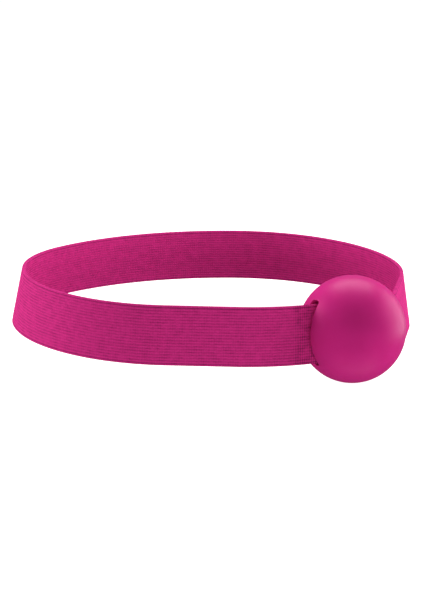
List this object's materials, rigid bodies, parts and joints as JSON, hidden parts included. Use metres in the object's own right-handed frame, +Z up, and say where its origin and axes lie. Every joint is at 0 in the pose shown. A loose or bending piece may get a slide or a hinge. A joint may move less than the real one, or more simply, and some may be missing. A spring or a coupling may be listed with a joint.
{
  "type": "elastic head strap with ball",
  "caption": "Loop of flat woven elastic for the head, threaded through a slot in a smooth solid silicone ball that slides along it.",
  "frame": {"origin": "middle of the whole object's box; at half the height of both the ball and the strap", "axes": "+Z up across the strap's width, -Y the near side of the loop, +X towards the side that carries the ball"},
  "size_m": [0.1806, 0.155, 0.0454],
  "materials": {
    "silicone": "satin",
    "woven_elastic": "matte",
    "sewing_thread": "matte"
  },
  "bodies": {
    "strap_front": {"band_front": "woven_elastic", "band_left_side": "woven_elastic", "band_right_side": "woven_elastic", "band_lap_tail": "woven_elastic", "needle_thread": "sewing_thread", "bobbin_thread": "sewing_thread"},
    "strap_rear": {"band_rear": "woven_elastic"},
    "ball": {"ball": "silicone"}
  },
  "joints": [
    {"name": "band_stretch", "type": "slide", "parent": "strap_front", "child": "strap_rear", "axis": [0, 1, 0], "range_m": [0, 0.045], "stiffness_N_per_m": 180, "deforming": ["band_left_side", "band_right_side"]},
    {"name": "ball_slide", "type": "slide", "parent": "strap_front", "child": "ball", "axis": [0.866, 0.5, 0], "range_m": [-0.007, 0]}
  ]
}
